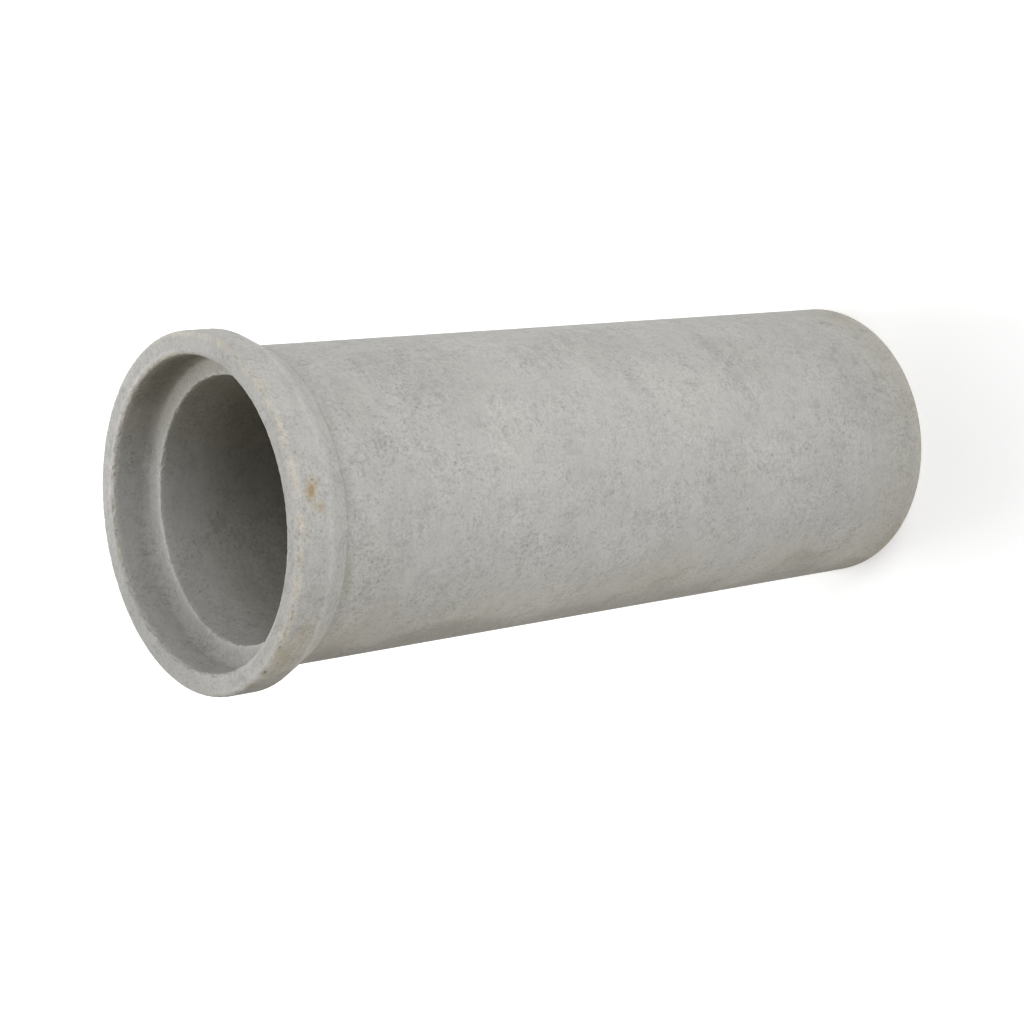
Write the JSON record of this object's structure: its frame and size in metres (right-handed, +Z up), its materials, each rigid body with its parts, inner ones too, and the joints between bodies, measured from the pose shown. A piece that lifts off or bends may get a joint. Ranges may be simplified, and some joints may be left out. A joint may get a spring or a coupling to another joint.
{
  "type": "concrete sewer pipe",
  "caption": "Straight cast concrete sewer pipe, standing on its plain end, with a stepped socket inside a thicker collar at the top.",
  "frame": {"origin": "on the floor, at the middle of the plain end that the pipe stands on", "axes": "+Z up along the pipe's axis, from the plain end to the collar with the socket; the pipe is a turned shape, so X and Y are free"},
  "size_m": [0.4039, 0.404, 1.01],
  "materials": {
    "concrete": "dry-cast concrete, matt and sandy, with fine pits and a few rust stains"
  },
  "bodies": {
    "root": {"pipe": "concrete"}
  },
  "joints": []
}
